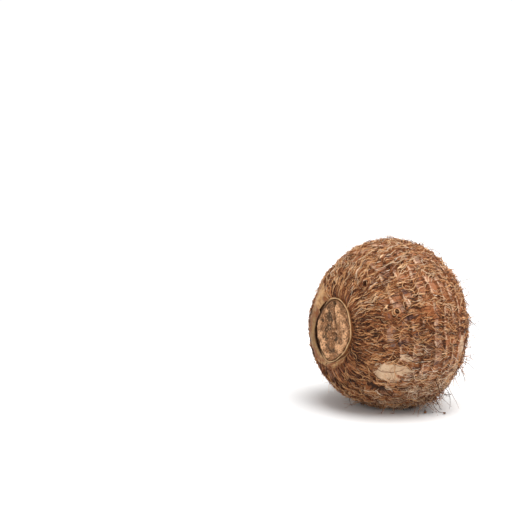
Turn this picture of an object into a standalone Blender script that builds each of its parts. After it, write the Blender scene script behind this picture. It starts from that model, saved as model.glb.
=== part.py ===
"""A whole taro corm lying on its side, as dug and dried.

The corm is one solid that grew as one piece. Its growth axis lies along X: the round scar where its
stalk was cut faces -X, and the bud is the small blunt nub at the +X end. The rings along it are the
lines where its old leaves were attached. It rests on a small flat that its own weight keeps down.
Sizes are in metres, and +Z is up.
"""

import math

import bmesh
import bpy
from mathutils import Vector, noise

# Driving dimensions.
GIRTH_RADIUS = 0.0367      # from the growth axis to the skin at the fattest ring
SCAR_END_LENGTH = 0.0346   # from the fattest ring to where the scar end would close
BUD_END_LENGTH = 0.0280    # from the fattest ring to where the bud end would close
SCAR_END_FULLNESS = 0.91   # under 1 makes that shoulder squarer than an ellipse's
BUD_END_FULLNESS = 0.96
SCAR_RADIUS = 0.0118       # the dried cut face of the stalk
SCAR_LEAN = math.radians(8)  # how far the cut leans back from square to the axis
RIM_WIDTH = 0.0012         # the thin upstanding edge around the scar
RIM_HEIGHT = 0.0009        # how far the rim stands above the scar face
MOAT_WIDTH = 0.0022        # the hollow between the rim and the shoulder
MOAT_DEPTH = 0.0011
SCAR_DISH = 0.0006         # how far the middle of the scar face sinks
RINGS = 17                 # leaf lines between the shoulder and the bud
RING_STEP = 0.00042        # how far the scar-side edge of each band stands above the band before it
BUD_RADIUS = 0.0075        # at its foot, which spreads softly into the skin
BUD_HEIGHT = 0.0031
LUMP = 0.0009              # how far slow swellings push the skin in or out
LUMP_SIZE = 0.030          # how far apart those swellings lie
REST_SINK = 0.0017         # how much of the belly is flattened where it rests

# How finely the turned shape is divided.
SEGMENTS = 64
POINTS_PER_RING = 3
SCAR_POINTS = 5
BUD_POINTS = 6

SHOULDER_RADIUS = SCAR_RADIUS + RIM_WIDTH + MOAT_WIDTH
MERGE_DISTANCE = 0.00001
LUMP_SEED = Vector((3.1, 7.4, 1.9))
SKIN_COLOUR = (0.29, 0.14, 0.07, 1.0)


def body_point(angle):
    """The skin's place along the axis and its radius, at an angle from the scar end round to the bud end."""
    if angle < math.pi / 2:
        return -SCAR_END_LENGTH * math.cos(angle), GIRTH_RADIUS * math.sin(angle) ** SCAR_END_FULLNESS
    return -BUD_END_LENGTH * math.cos(angle), GIRTH_RADIUS * math.sin(angle) ** BUD_END_FULLNESS


def end_angle(radius, fullness):
    """The angle from the nearer end at which the skin has this radius."""
    return math.asin((radius / GIRTH_RADIUS) ** (1.0 / fullness))


def scar_profile(shoulder_x):
    """The scar's dished face, its rim and the moat, from the axis out to the shoulder."""
    face_x = shoulder_x + MOAT_DEPTH - RIM_HEIGHT
    rim_x = face_x - RIM_HEIGHT
    points = []
    for step in range(SCAR_POINTS):
        share = step / (SCAR_POINTS - 1)
        points.append((face_x + SCAR_DISH * (1.0 - share * share), SCAR_RADIUS * share))
    points.append((rim_x, SCAR_RADIUS + 0.35 * RIM_WIDTH))
    points.append((rim_x, SCAR_RADIUS + 0.75 * RIM_WIDTH))
    points.append((shoulder_x + MOAT_DEPTH, SCAR_RADIUS + RIM_WIDTH + 0.3 * MOAT_WIDTH))
    return points


def ringed_profile(first_angle, last_angle):
    """The skin from the shoulder to the bud. Each band starts with a small step up and sinks from there."""
    points = []
    steps = RINGS * POINTS_PER_RING
    for step in range(steps + 1):
        angle = first_angle + (last_angle - first_angle) * step / steps
        along, radius = body_point(angle)
        across_band = (step % POINTS_PER_RING) / (POINTS_PER_RING - 1)
        fade = math.sin(angle)
        points.append((along, radius + RING_STEP * fade * (1.0 - across_band)))
    return points


def bud_profile(foot_x):
    """The blunt nub at the growing end, from its foot in to the axis, soft at both."""
    points = []
    for step in range(1, BUD_POINTS + 1):
        share = step / BUD_POINTS
        rise = share * share * (3.0 - 2.0 * share)
        points.append((foot_x + BUD_HEIGHT * rise, BUD_RADIUS * (1.0 - share)))
    return points


def profile():
    """The corm's outline from the middle of the scar to the tip of the bud, as (along the axis, radius)."""
    first_angle = end_angle(SHOULDER_RADIUS, SCAR_END_FULLNESS)
    last_angle = math.pi - end_angle(BUD_RADIUS, BUD_END_FULLNESS)
    shoulder_x = body_point(first_angle)[0]
    bud_foot_x = body_point(last_angle)[0]
    return scar_profile(shoulder_x) + ringed_profile(first_angle, last_angle) + bud_profile(bud_foot_x)


def turned_mesh(points):
    """A closed mesh made by turning the outline about the growth axis."""
    outline = bpy.data.meshes.new("corm_outline")
    vertices = [(along, 0.0, radius) for along, radius in points]
    edges = [(index, index + 1) for index in range(len(points) - 1)]
    outline.from_pydata(vertices, edges, [])
    turner = bpy.data.objects.new("corm_outline", outline)
    bpy.context.scene.collection.objects.link(turner)
    screw = turner.modifiers.new("Turn", 'SCREW')
    screw.axis = 'X'
    screw.steps = SEGMENTS
    screw.render_steps = SEGMENTS
    screw.use_merge_vertices = True
    screw.merge_threshold = MERGE_DISTANCE
    evaluated = turner.evaluated_get(bpy.context.evaluated_depsgraph_get())
    turned = bpy.data.meshes.new_from_object(evaluated)
    bpy.data.objects.remove(turner)
    return turned


def lean_scar(shape):
    """Leans the scar and its shoulder back, most at the scar and not at all at the fattest ring."""
    for vertex in shape.verts:
        share = min(max(-vertex.co.x / SCAR_END_LENGTH, 0.0), 1.0)
        vertex.co.x += vertex.co.z * math.tan(SCAR_LEAN) * share * share


def swell(shape):
    """Pushes the skin in and out in slow swellings, because no corm is truly round."""
    for vertex in shape.verts:
        outward = Vector((0.0, vertex.co.y, vertex.co.z))
        if outward.length == 0.0:
            continue
        push = LUMP * noise.noise(vertex.co / LUMP_SIZE + LUMP_SEED)
        share = outward.length / GIRTH_RADIUS
        vertex.co += outward.normalized() * push * share


def flatten_belly(shape):
    """Cuts the lowest skin off level and closes the cut, which is the flat that the corm rests on."""
    lowest = min(vertex.co.z for vertex in shape.verts)
    geometry = shape.verts[:] + shape.edges[:] + shape.faces[:]
    level = Vector((0.0, 0.0, lowest + REST_SINK))
    cut = bmesh.ops.bisect_plane(
        shape, geom=geometry, dist=MERGE_DISTANCE, plane_co=level, plane_no=(0.0, 0.0, 1.0), clear_inner=True
    )
    cut_edges = [part for part in cut["geom_cut"] if isinstance(part, bmesh.types.BMEdge)]
    bmesh.ops.contextual_create(shape, geom=cut_edges)


def box_bottom_centre(shape):
    """The middle of the underside of the shape's box."""
    lows = [min(vertex.co[axis] for vertex in shape.verts) for axis in range(3)]
    highs = [max(vertex.co[axis] for vertex in shape.verts) for axis in range(3)]
    return Vector(((lows[0] + highs[0]) / 2, (lows[1] + highs[1]) / 2, lows[2]))


def skin_material():
    """Dry brown skin with no shine."""
    material = bpy.data.materials.new("corm_skin")
    material.use_nodes = True
    shader = material.node_tree.nodes["Principled BSDF"]
    shader.inputs["Base Color"].default_value = SKIN_COLOUR
    shader.inputs["Roughness"].default_value = 0.85
    shader.inputs["Metallic"].default_value = 0.0
    return material


def taro_corm():
    """The whole corm, with the middle of its underside at the origin."""
    mesh = turned_mesh(profile())
    shape = bmesh.new()
    shape.from_mesh(mesh)
    bmesh.ops.remove_doubles(shape, verts=shape.verts[:], dist=MERGE_DISTANCE)
    lean_scar(shape)
    swell(shape)
    flatten_belly(shape)
    bmesh.ops.recalc_face_normals(shape, faces=shape.faces[:])
    foot = box_bottom_centre(shape)
    shape.to_mesh(mesh)
    shape.free()
    mesh.materials.append(skin_material())
    mesh.shade_smooth()
    mesh.set_sharp_from_angle(angle=math.radians(40))
    corm = bpy.data.objects.new("taro_corm", mesh)
    corm.location = -foot
    return corm


def main():
    for leftover in list(bpy.data.objects):
        bpy.data.objects.remove(leftover)
    collection = bpy.data.collections.new("taro_root")
    bpy.context.scene.collection.children.link(collection)
    collection.objects.link(taro_corm())


main()
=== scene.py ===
"""A taro corm with its ringed skin, dried stalk scar and coat of fibres, lying on a pale floor.

The corm's growth axis lies along X, with the scar at -X and the bud at +X. Places on it are given by two
angles about its middle: the first is counted from the scar end to the bud end, and the second round the
axis, from the top towards +Y. Sizes are in metres.
"""
import functools
import math

import bmesh
import bpy
import numpy as np
from bpy.props import FloatProperty, FloatVectorProperty, IntProperty, PointerProperty
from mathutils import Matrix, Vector, noise
from mathutils.bvhtree import BVHTree


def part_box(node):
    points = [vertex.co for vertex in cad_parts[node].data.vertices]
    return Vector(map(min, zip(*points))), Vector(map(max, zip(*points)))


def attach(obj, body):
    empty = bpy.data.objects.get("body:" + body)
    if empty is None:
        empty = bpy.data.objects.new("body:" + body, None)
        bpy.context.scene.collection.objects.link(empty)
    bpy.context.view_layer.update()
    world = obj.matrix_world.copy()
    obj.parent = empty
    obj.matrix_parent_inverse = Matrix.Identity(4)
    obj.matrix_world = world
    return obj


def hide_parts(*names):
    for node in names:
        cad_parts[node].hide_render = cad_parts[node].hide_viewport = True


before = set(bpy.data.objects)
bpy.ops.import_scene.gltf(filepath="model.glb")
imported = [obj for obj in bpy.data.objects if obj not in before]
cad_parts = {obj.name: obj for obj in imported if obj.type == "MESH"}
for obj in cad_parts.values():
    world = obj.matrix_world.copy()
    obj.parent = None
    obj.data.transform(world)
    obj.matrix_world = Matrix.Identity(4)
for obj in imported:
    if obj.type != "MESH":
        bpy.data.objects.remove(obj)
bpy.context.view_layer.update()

bl_info = {
    "name": "Taro Corm",
    "version": (1, 0, 0),
    "blender": (4, 5, 0),
    "location": "3D View > Sidebar > Taro",
    "description": "Builds a taro corm's skin, scar and fibres round its packed solid",
    "category": "Add Mesh",
}

CORM_NODE = "taro_corm"
BODY = "root"
MM = 0.001
CORM_LOW, CORM_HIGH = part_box(CORM_NODE)
AXIS_HEIGHT = CORM_HIGH.z - (CORM_HIGH.y - CORM_LOW.y) / 2
MIDDLE = Vector(((CORM_LOW.x + CORM_HIGH.x) / 2, 0.0, AXIS_HEIGHT))
CENTRE = np.array(MIDDLE)
GIRTH = (CORM_HIGH.y - CORM_LOW.y) / 2
ROWS = 301              # places from the scar end to the bud end, both ends counted
COLUMNS = 600           # places round the axis
COAT_MESHES = 3         # how many meshes each kind of coat fibre is shared among
TONES = 32              # how many warm fibre colours there are, and as many greyed ones
GREYED = 0.34           # how much of its colour a greyed fibre has lost
GREY_LIFT = 1.10        # how much paler its grey is
SCAR_SINK = 0.0012      # how far the skin lies below the scar's face
EYE_RISE = 0.0003       # the swelling round a dormant bud
HOLE_DEPTH = 0.0007     # the hollow in its middle
PIT_DEPTH = 0.0016      # the torn pit below the rubbed patch
RUB_DEPTH = 0.00012     # the outer layer that rubbed patches have lost
FACE_DEPTH = 0.0016     # how deep the scar's face and its rim are made
PAPER_WALL = 0.00028    # how thick the papery sheath is
ROOT_LIFT = 0.0001      # how far off the skin a hair's root lies
ROOT_SINK = 0.00005     # how far inside it the matted fibres' roots lie
FLOOR_GAP = 0.00005     # the least height of a fibre over the floor
TINY = 1e-12            # stands in for a length of nothing
SAME_PLACE = 0.000001   # corners nearer than this are one corner
SCAR_END_OVER = 0.0022  # how far beyond the box the skin's curve would close at the scar end
BUD_END_SHORT = 0.0041  # how far the bud stands beyond the skin's curve at its end
GOLDEN_TURN = 137.5     # degrees between one bud scale and the next, as plants set them
GOLDEN_SHARE = 0.618    # spreads a share of the strands evenly over their numbers

# Where the papery sheath ends: places round the axis, and how far from the scar end, in degrees.
COLLAR = (
    (18, 25), (32, 36), (45, 50), (54, 43), (66, 37), (100, 35.5), (135, 32.5), (160, 28.5), (200, 27),
    (236, 25.5),
)

# Torn strips and cracks that each have their own place: that place and their heading from the line towards
# the bud, in degrees, their length and width in millimetres, their tone from 0 to 1, and how far their tip
# rises, in millimetres.
FLAKES = (
    (46, -152, 18, 8.0, 0.7, 0.80, 0.4), (46, -135, 2, 8.5, 0.6, 0.72, 0.3),
    # The narrow dark strips in the rubbed patch, at -121.5, -110.5, -131.5 and -126 degrees round, stand for
    # cracks: dark strips that paint the cracks' shade.
    (46, -121.5, 1, 12.0, 0.26, 0.20, 0.0), (51, -110.5, -3, 9.0, 0.34, 0.14, 0.1),
    (48, -131.5, 4, 9.0, 0.34, 0.16, 0.1), (60, -32, 0, 6.5, 0.28, 0.06, 0.0),
    (59, -39, -5, 6.5, 0.24, 0.10, 0.0), (56, -126, -6, 7.0, 0.22, 0.24, 0.0),
    (50, -64, 15, 2.6, 1.0, 0.84, 0.4), (53, -66, 100, 2.2, 0.8, 0.78, 0.3),
    (49, 25, 208, 7.4, 1.5, 0.88, 0.5), (46, 33, 200, 5.5, 1.2, 0.66, 0.4),
    (76, -34, 205, 4.5, 1.1, 0.90, 1.0), (68, -66, 95, 2.4, 0.9, 0.86, 0.5),
    (29, 37, 85, 2.8, 1.1, 0.18, 0.2), (88, 8, 170, 6.0, 1.3, 0.80, 0.7),
    (72, -50, 160, 5.0, 1.0, 0.88, 0.5), (100, 150, 190, 6.0, 1.4, 0.85, 0.8),
    (70, 120, 175, 5.0, 1.2, 0.80, 0.6), (120, -150, 200, 6.0, 1.3, 0.70, 0.9),
    (130, 60, 185, 6.0, 1.5, 0.88, 0.8), (95, 80, 170, 5.0, 1.1, 0.92, 0.6),
    (110, -20, 200, 6.0, 1.3, 0.80, 0.8), (140, -100, 180, 5.0, 1.2, 0.86, 0.7),
    (60, -160, 190, 5.0, 1.2, 0.50, 0.5), (80, -120, 200, 4.0, 1.0, 0.30, 0.5),
)

# Pale lobes and stains on the scar's face: how far across and up it, half width and half height, in
# millimetres.
LOBES = (
    (-1.9, 9.4, 1.8, 1.6), (-3.5, 5.7, 1.9, 2.4), (-6.8, 3.0, 2.0, 2.6), (-9.2, -1.9, 1.8, 3.8),
    (-6.8, -7.2, 2.1, 2.6), (-3.1, -0.3, 1.8, 0.9), (-0.4, 3.0, 0.8, 1.6), (9.8, 1.2, 1.6, 2.3),
    (8.5, -2.7, 2.1, 2.6), (5.8, -7.4, 2.3, 3.0), (2.4, -10.4, 2.2, 1.2), (-4.5, -6.2, 1.8, 1.6),
    (5.4, 7.6, 1.0, 0.9),
)
STAINS = (
    (3.5, 6.3, 2.6, 3.4), (1.3, 11.2, 1.6, 0.8), (3.5, 0.8, 2.4, 2.2), (4.5, -3.6, 2.0, 1.0),
    (-2.9, -3.2, 3.2, 1.4), (2.4, -6.5, 1.2, 1.4), (-0.8, -8.5, 2.0, 1.2), (-6.3, 3.9, 0.6, 0.5),
    (-8.9, 5.9, 0.8, 0.8), (7.7, 3.2, 0.7, 0.7),
)

# Roots of the long hairs that show against the light on one side, in degrees.
STRAYS = (
    (114, -60), (117, -70), (119, -80), (120, -89), (119, -96), (117, -103), (115, -110), (113, -116),
    (111, -123), (108, -129), (107, -135), (105, -140), (104, -143), (101, -146), (98, -148),
)

# Patches rubbed bare: their place and half-sizes in degrees, and how far they are turned, in degrees.
RUBBED = (
    ((58.0, -116.0), (12.4, 4.8), 4.0), ((55.5, -124.8), (10.6, 4.4), -4.0),
    ((64.4, -104.4), (4.4, 2.4), -25.0), ((109.5, -98.0), (3.2, 6.5), 16.0),
    ((110.0, -111.0), (3.4, 8.5), -14.0), ((103.0, -122.0), (3.0, 5.5), -34.0),
    ((118.0, 60.0), (9.0, 3.4), 20.0), ((84.0, 118.0), (10.0, 3.8), -12.0),
    ((132.0, -30.0), (5.0, 2.4), 30.0),
)

# The pit torn in the skin below them, in the same terms.
PIT = ((55.0, -141.0), (9.5, 3.6), 6.0)

# Dark plum patches: their place and half-sizes in degrees.
PLUM = (
    ((66.0, -74.0), (2.6, 2.2)), ((60.5, -93.5), (3.2, 2.8)), ((70.0, -87.0), (3.4, 2.0)),
    ((96.0, 40.0), (3.4, 2.6)), ((72.0, 150.0), (3.0, 2.6)), ((120.0, -60.0), (3.6, 2.4)),
)

# Dormant buds: their place in degrees and their size.
EYES = ((47, -32, 1.0), (58.4, -68.8, 0.7), (96, 36, 1.0), (101, 140, 1.2), (128, -58, 0.8), (78, 95, 0.9))

# Tufts: their place and spread in degrees, their share of the fibres, and how many crumbs they hold.
TUFTS = (
    (98, -142, 3.2, 0.70, 10), (112, -112, 1.5, 0.07, 1), (102, -134, 1.5, 0.08, 1),
    (118, -8, 2.0, 0.06, 2), (61, 9, 3.0, 0.05, 1), (104, 148, 4.0, 0.20, 4), (132, 118, 4.0, 0.12, 2),
    (150, -30, 3.0, 0.10, 2), (173, 0, 4.0, 0.10, 0), (170, 130, 4.0, 0.08, 1), (171, -110, 4.0, 0.08, 0),
)


# ---------------------------------------------------------------- sizes and colours

def length(label, value, text):
    return FloatProperty(name=label, description=text, default=value, unit='LENGTH', precision=5)


def number(label, value, text):
    return FloatProperty(name=label, description=text, default=value)


def amount(label, value, text):
    return IntProperty(name=label, description=text, default=value)


def angle(label, degrees, text):
    return FloatProperty(name=label, description=text, default=math.radians(degrees), subtype='ANGLE')


def linear(red, green, blue):
    """A colour given as 0 to 255 for a screen, as the light that it stands for."""
    shares = [value / 255 for value in (red, green, blue)]
    return [share / 12.92 if share <= 0.04045 else ((share + 0.055) / 1.055) ** 2.4 for share in shares]


def colour(label, red, green, blue, text):
    return FloatVectorProperty(
        name=label, description=text, default=linear(red, green, blue), subtype='COLOR', min=0, max=1
    )


class TARO_PG_skin(bpy.types.PropertyGroup):
    rings: amount("Rings", 17, "Leaf lines from the scar's shoulder to the bud")
    first_ring: angle("First ring", 22.3, "Where the first leaf line lies, from the scar end")
    last_ring: angle("Last ring", 169.0, "Where the last leaf line lies, from the scar end")
    ring_wobble: number("Ring wobble", 0.30, "How far a leaf line strays, in bands")
    ring_step: length("Ring step", 0.00090, "How far the scar-side edge of a band stands up")
    inset: length("Inset", 0.00055, "How far the bare skin lies inside the coat's outline")
    lump: length("Lump", 0.00030, "Height of the swellings a few millimetres across")
    ridge: length("Ridge", 0.00016, "Height of the fine ridges that run from end to end")
    crack: length("Crack", 0.00035, "Depth of the cracks that run from end to end")
    dark: colour("Dark skin", 56, 30, 15, "Skin between the fibres")
    brown: colour("Brown skin", 158, 98, 58, "Dry outer skin")
    rust: colour("Rust skin", 162, 96, 54, "Smooth reddish sheath")
    mauve: colour("Mauve skin", 166, 132, 112, "Smooth skin of a band")
    plum: colour("Plum skin", 92, 68, 66, "Darkest smooth skin")
    pale: colour("Pale edge", 220, 182, 150, "Fresh edge of a band")
    rubbed: colour("Rubbed skin", 200, 170, 138, "Skin rubbed bare of its outer layer")


class TARO_PG_scar(bpy.types.PropertyGroup):
    radius: length("Radius", 0.0125, "The dried cut face of the stalk")
    point: number("Point", 0.085, "How far the face is drawn out at top and bottom")
    rim_thickness: length("Rim thickness", 0.00036, "The thin wall round the face")
    rim_height: length("Rim height", 0.0008, "How far the wall stands above the face")
    pith: colour("Pith", 136, 92, 58, "Dry cut flesh")
    lobe: colour("Lobe", 218, 166, 122, "Palest cut flesh")
    blotch: colour("Blotch", 78, 56, 36, "Stained cut flesh")
    # Painted shade: the colour of the face's darkened pits, cracks and sunken edge, of the rim's low side and
    # of the collar's inner edge.
    painted_shade: colour("Vein", 56, 34, 20, "Dried veins and cracks")
    paper: colour("Paper", 192, 147, 100, "The papery sheath that stands round the scar")


class TARO_PG_coat(bpy.types.PropertyGroup):
    short_fibres: amount("Short fibres", 9300, "Matted fibres")
    long_fibres: amount("Long fibres", 3600, "Curly fibres that cross the bands")
    comb_fibres: amount("Comb fibres", 2500, "Fibres combed towards the scar")
    loose_hairs: amount("Loose hairs", 1700, "Fine hairs that stand off")
    stray_hairs: amount("Stray hairs", 100, "The few longest hairs")
    shreds: amount("Shreds", 2600, "Flat torn strips of sheath")
    crumbs: amount("Crumbs", 60, "Bits of bark caught in the fibres")
    tuft_fibres: amount("Tuft fibres", 220, "Fibres in the tangle by the floor and in the other tufts")
    bud_scales: amount("Bud scales", 44, "Dried leaf bases round the bud")


class TARO_PG_stage(bpy.types.PropertyGroup):
    distance: length("Camera distance", 0.5302, "From the corm's middle to the camera")
    azimuth: angle("Camera azimuth", -38.75, "Where the camera stands, round from -Y")
    elevation: angle("Camera elevation", 10.0, "How high the camera stands")
    heading: angle("Camera heading", -32.384, "Which way the camera looks, round from +Y")
    tilt: angle("Camera tilt", 6.945, "How far the camera looks down")
    lens: number("Lens", 85.0, "Focal length in millimetres")
    key_strength: number("Key strength", 3.3, "The broad soft light overhead")
    key_spread: angle("Key spread", 62.0, "How broad the overhead light is")
    horizon: number("Horizon", 1.05, "How bright the white surround is")


def settings(group):
    return getattr(bpy.context.scene, "taro_" + group)


# ---------------------------------------------------------------- the corm's surface

def smooth(value, low, high):
    """0 below low, 1 above high, and an even S between them."""
    share = np.clip((value - low) / (high - low), 0.0, 1.0)
    return share * share * (3.0 - 2.0 * share)


def fade(value, low, high):
    """1 below low, 0 above high."""
    return 1.0 - smooth(value, low, high)


def near_to(distance, reach):
    """1 at no distance, about a third at this reach, and fading to 0 beyond it."""
    return np.exp(-(distance / reach) ** 2)


def unit(vectors):
    """The same directions, each 1 long."""
    return vectors / np.maximum(np.linalg.norm(vectors, axis=-1, keepdims=True), TINY)


def shares(points):
    """How far along a strand each of its points lies, from 0 to 1."""
    return np.linspace(0, 1, points)[None]


def grain(points, size, seed):
    """Soft noise from about -1 to 1 at each point, with features about this size."""
    moved = (points / size + seed * 17.31).reshape(-1, 3).tolist()
    return np.fromiter(map(noise.noise, moved), float, len(moved)).reshape(points.shape[:-1])


def round_axis(theta, phi, along=1.0):
    """Points whose noise is drawn out from end to end of the corm, by this factor."""
    around = GIRTH * np.sin(theta)
    return np.stack([theta * GIRTH / along, around * np.cos(phi), around * np.sin(phi)], -1)


def spot(theta, phi, centre, half, turn=0.0):
    """Distance from a spot's centre in its own half-sizes. Angles are in degrees, on the skin."""
    down = np.degrees(theta) - centre[0]
    round_ = (np.degrees(phi) - centre[1] + 180.0) % 360.0 - 180.0
    round_ = round_ * math.sin(math.radians(centre[0]))
    a = math.radians(turn)
    first = down * math.cos(a) + round_ * math.sin(a)
    second = round_ * math.cos(a) - down * math.sin(a)
    return np.hypot(first / half[0], second / half[1])


class Surface:
    """The corm's skin as a table of distances from its middle, and what lies where on it."""

    def __init__(self):
        theta = np.linspace(0.0, math.pi, ROWS)
        phi = np.linspace(0.0, 2 * math.pi, COLUMNS, endpoint=False)
        self.theta, self.phi = np.meshgrid(theta, phi, indexing="ij")
        self.degrees = np.degrees(self.theta)
        self.smooth = self.without_steps(self.distances_to(CORM_NODE))
        self.scar_frame()
        self.floor_of_scar()
        self.paint()
        self.carve()
        self.normals = self.normals_of(self.smooth)

    def directions(self, theta, phi):
        return np.stack([-np.cos(theta), np.sin(theta) * np.sin(phi), np.sin(theta) * np.cos(phi)], -1)

    def distances_to(self, node):
        """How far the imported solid's skin lies from its middle, in each direction."""
        shape = bmesh.new()
        shape.from_mesh(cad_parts[node].data)
        bmesh.ops.remove_doubles(shape, verts=shape.verts[:], dist=SAME_PLACE)
        self.tree = BVHTree.FromBMesh(shape)
        shape.free()
        far = 2 * GIRTH
        found = np.empty(self.theta.size)
        for index, ray in enumerate(self.directions(self.theta, self.phi).reshape(-1, 3)):
            outward = Vector(ray)
            hit = self.tree.ray_cast(MIDDLE + outward * far, -outward)
            found[index] = far - hit[3]
        return found.reshape(self.theta.shape)

    def without_steps(self, radius):
        """The same skin with the solid's plain ring steps smoothed away."""
        reach, spread = 9, 4.0  # in rows of the table
        weights = np.exp(-0.5 * (np.arange(-reach, reach + 1) / spread) ** 2)
        padded = np.concatenate([radius[reach:0:-1], radius, radius[-2:-reach - 2:-1]])
        blurred = sum(w * padded[i:i + ROWS] for i, w in enumerate(weights / weights.sum()))
        keep = smooth(self.degrees, 27.0, 33.0) * fade(self.degrees, 164.0, 170.0)
        return blurred * keep + radius * (1.0 - keep)

    def scar_frame(self):
        """The scar's middle and the way it faces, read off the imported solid."""
        heights = {}
        for side in (-1, 1):
            start = Vector((CORM_LOW.x - GIRTH, 0.0, AXIS_HEIGHT + side * 0.7 * settings("scar").radius))
            heights[side] = self.tree.ray_cast(start, Vector((1.0, 0.0, 0.0)))[0]
        up = (heights[1] - heights[-1]).normalized()
        self.scar_middle = np.array((heights[1] + heights[-1]) / 2)
        self.scar_up = np.array(up)
        self.scar_out = np.array((-up.z, 0.0, up.x))

    def on_scar(self, across, up, lift):
        """Points on the scar's own plane: across towards +Y, up it, and lifted off it."""
        across, up, lift = (np.asarray(value, float)[..., None] for value in (across, up, lift))
        side = np.array((0.0, 1.0, 0.0))
        return self.scar_middle + across * side + up * self.scar_up + lift * self.scar_out

    def floor_of_scar(self):
        """Sinks the skin under the scar's face, so that the face and its rim stand in a hollow."""
        reach = (self.scar_middle - SCAR_SINK * self.scar_out - CENTRE) @ self.scar_out
        facing = self.directions(self.theta, self.phi) @ self.scar_out
        plane = np.where(facing > 0.5, reach / np.maximum(facing, 0.5), 1.0)
        off_scar = self.smooth * np.sin(self.theta) - settings("scar").radius
        keep = smooth(off_scar, 0.0012, 0.0048)
        sunk = np.minimum(plane, self.smooth)
        self.smooth = sunk * (1.0 - keep) + self.smooth * keep

    def bands(self, theta, phi, radius):
        """Which band each place lies in, counted from the scar, as a number that grows by 1 a band."""
        skin = settings("skin")
        along = -radius * np.cos(theta)
        to_scar, to_bud = MIDDLE.x - CORM_LOW.x + SCAR_END_OVER, CORM_HIGH.x - MIDDLE.x - BUD_END_SHORT
        reach = np.where(along < 0, to_scar, to_bud)
        stage = np.arccos(np.clip(-along / reach, -1.0, 1.0))
        wobble = grain(round_axis(theta, phi), 0.016, 1) + 0.4 * grain(round_axis(theta, phi), 0.005, 2)
        share = (stage - skin.first_ring) / (skin.last_ring - skin.first_ring)
        return share * skin.rings + skin.ring_wobble * wobble

    def paint(self):
        """What shows where: smooth tiles, pale edges, rubbed patches and the hollows that are painted dark as
        shade, from 0 to 1.
        """
        theta, phi = self.theta, self.phi
        place = round_axis(theta, phi)
        drawn = round_axis(theta, phi, 2.0)
        band = self.bands(theta, phi, self.smooth)
        self.across = band - np.floor(band)
        number = np.floor(band)
        shifted = place + number[..., None] * np.array((0.0, 0.013, 0.007))
        ragged = 0.22 * grain(place, 0.0022, 3) + 0.10 * grain(place, 0.0009, 4)
        front = smooth(self.degrees, 40.0, 62.0)
        away_from_floor = 1.0 - 0.6 * smooth(-np.cos(phi) * np.sin(theta), 0.25, 0.75)
        tile = smooth(grain(shifted, 0.0062, 5) + 0.5 * ragged, -0.22, 0.06)
        window = smooth(self.across, 0.02, 0.07) * fade(self.across + 0.6 * ragged, 0.60, 0.88)
        self.tile = tile * window * front * away_from_floor
        edge = smooth(grain(shifted, 0.0048, 6) + 0.5 * ragged, -0.20, 0.10)
        edge = edge * front * away_from_floor
        self.edge = edge * smooth(self.across, 0.0, 0.05) * fade(self.across + 0.5 * ragged, 0.16, 0.28)
        # The gap at the foot of each band's step, darkened later as painted shade.
        self.gap = smooth(self.across, 0.84, 0.97) * smooth(grain(shifted, 0.005, 7), -0.35, 0.1) * front
        hue = grain(shifted, 0.0085, 8) + 0.4 * ragged
        self.rust = smooth(hue, 0.02, 0.25)
        above_scar = fade(spot(theta, phi, (29.0, 8.0), (6.0, 10.0)), 0.75, 1.1)
        on_flank = fade(spot(theta, phi, (86.0, -58.0), (12.0, 9.0)) + ragged, 0.6, 1.1)
        self.rust = np.maximum.reduce([self.rust, above_scar, on_flank])
        rub = np.minimum.reduce([spot(theta, phi, *patch) for patch in RUBBED])
        self.rub = fade(rub + 1.3 * ragged, 0.86, 1.06)
        plum = np.minimum.reduce([spot(theta, phi, *patch) for patch in PLUM])
        dark_tile = smooth(grain(shifted, 0.0045, 9), 0.34, 0.5) * self.tile
        self.plum = np.maximum(fade(plum + ragged, 0.7, 1.15), dark_tile)
        self.pit = fade(spot(theta, phi, *PIT) + 0.6 * ragged, 0.7, 1.1)
        self.eyes = np.zeros(theta.shape)
        self.hole = np.zeros(theta.shape)
        for *centre, size in EYES:
            near = spot(theta, phi, centre, (3.2 * size,) * 2)
            self.eyes += near_to(near - 0.8, 0.28) - 1.2 * near_to(near, 0.42)
            self.hole = np.maximum(self.hole, fade(near, 0.25, 0.5))
        self.ridges = grain(round_axis(theta, phi, 7.0), 0.0011, 10)
        crack = np.abs(grain(drawn * np.array((0.45, 1.0, 1.0)), 0.0046, 11))
        self.crack = fade(crack, 0.0, 0.055) * front * smooth(grain(place, 0.012, 12), -0.1, 0.3)
        self.crack *= 1.0 - self.rub
        self.gap *= 1.0 - 0.7 * self.rub
        collar = self.degrees - self.collar_reach(np.degrees(phi))
        self.collar = fade(collar, -1.0, 1.5)
        worn = [1.2 * self.rub, self.plum, 0.92 * self.tile, 0.85 * self.edge]
        self.bare = np.maximum.reduce([*worn, 1.3 * self.collar, self.hole, 3.0 * self.pit])
        near_eye = [fade(spot(theta, phi, eye[:2], (4.2 * eye[2],) * 2), 0.8, 1.1) for eye in EYES]
        face = smooth(self.across, 0.02, 0.10) * fade(self.across + ragged, 0.42, 0.68) * front
        clumps = smooth(grain(round_axis(theta, phi, 1.8), 0.0030, 13), -0.30, 0.30)
        clumps = clumps * (1.0 - 0.55 * face) * (1.0 - 0.85 * np.maximum.reduce(near_eye))
        behind_scar = 0.15 + 0.85 * smooth(self.degrees, 30.0, 40.0)
        self.cover = np.clip((1.0 - self.bare) * (0.25 + 0.75 * clumps) * behind_scar, 0.0, 1.0)

    def collar_reach(self, degrees):
        """How far from the scar end the papery sheath reaches, in degrees, round the scar."""
        places, reaches = zip(*COLLAR)
        return np.interp(np.asarray(degrees) % 360.0, places, reaches, left=0.0, right=0.0)

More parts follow.
